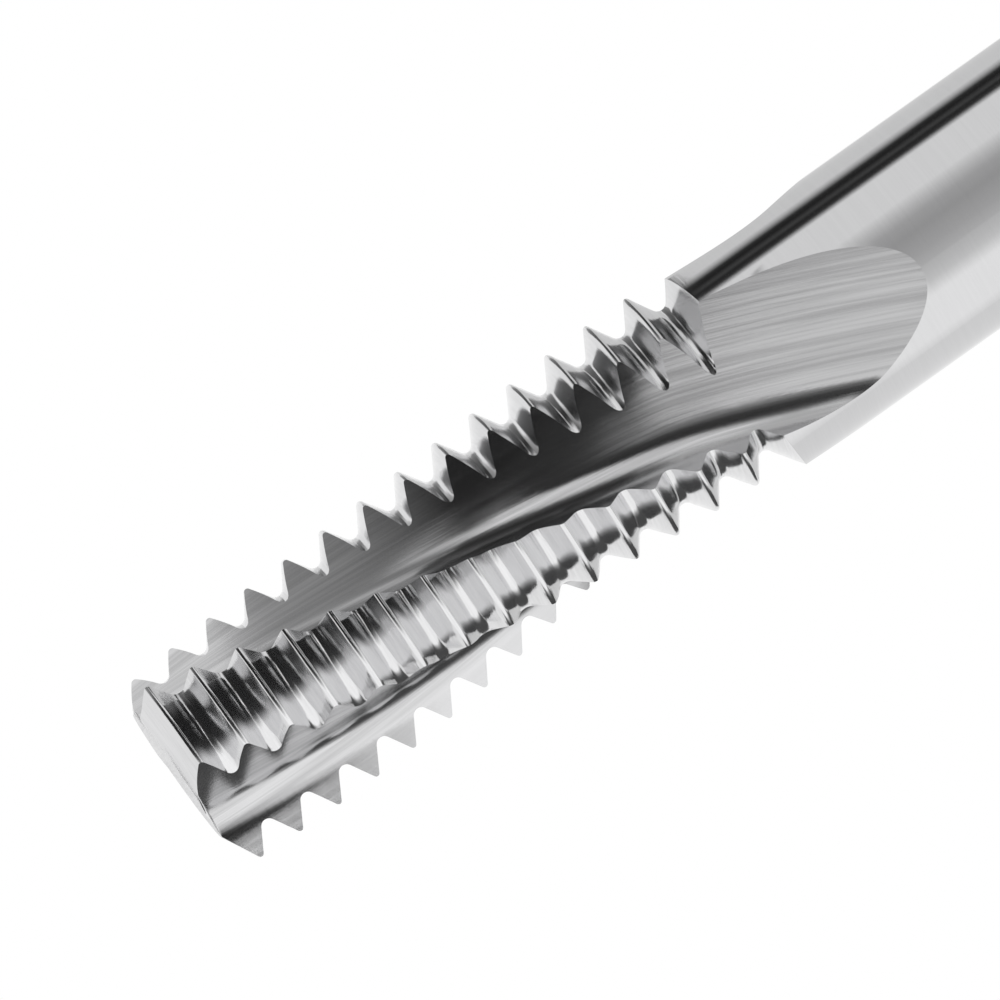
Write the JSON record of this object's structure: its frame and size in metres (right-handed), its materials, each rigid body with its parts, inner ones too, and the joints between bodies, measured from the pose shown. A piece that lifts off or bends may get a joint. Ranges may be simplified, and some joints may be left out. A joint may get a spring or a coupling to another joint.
{
  "type": "thread mill",
  "caption": "Solid carbide thread mill with a plain round shank and a helically fluted head of ring-shaped pointed teeth, for milling internal threads.",
  "frame": {"origin": "centre of the flat shank end, which the tool stands on", "axes": "+Z along the tool axis from the shank end to the cutting end; -Y faces the camera, and +X is the side that the picture shows up and to the left"},
  "size_m": [0.0104, 0.0102, 0.08],
  "materials": {
    "ground_carbide": "bright ground, uncoated"
  },
  "bodies": {
    "root": {"thread_mill": "ground_carbide"}
  },
  "joints": []
}
